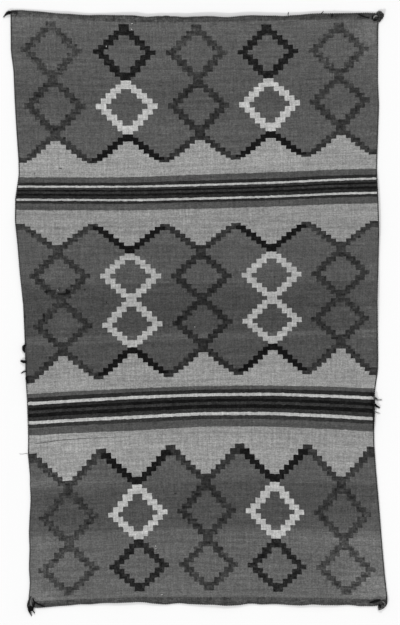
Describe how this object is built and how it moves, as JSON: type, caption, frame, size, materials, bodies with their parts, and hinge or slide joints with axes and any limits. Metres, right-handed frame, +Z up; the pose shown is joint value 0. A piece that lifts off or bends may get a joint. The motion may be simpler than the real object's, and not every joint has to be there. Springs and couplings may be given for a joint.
{
  "type": "hand-woven wool blanket",
  "caption": "Large flat hand-woven wool blanket with stepped diamonds between zigzag-edged bands, a twined cord along each edge and a small knotted tassel at each corner.",
  "frame": {"origin": "on the surface it lies on, under the middle of its box", "axes": "+Y towards its top end, along the warp; +X to its right, along the weft; +Z up, out of its face"},
  "size_m": [1.3061, 2.0595, 0.0128],
  "materials": {
    "cloth": "matt weft-faced wool in grey, light grey, white and black",
    "selvage": "matt twisted wool yarn, near black",
    "tassel": "matt knotted wool yarn with frayed ends, near black"
  },
  "bodies": {
    "root": {"cloth": "cloth", "selvage_top": "selvage", "selvage_bottom": "selvage", "selvage_left": "selvage", "selvage_right": "selvage", "tassel_top_left": "tassel", "tassel_top_right": "tassel", "tassel_bottom_left": "tassel", "tassel_bottom_right": "tassel"}
  },
  "joints": []
}
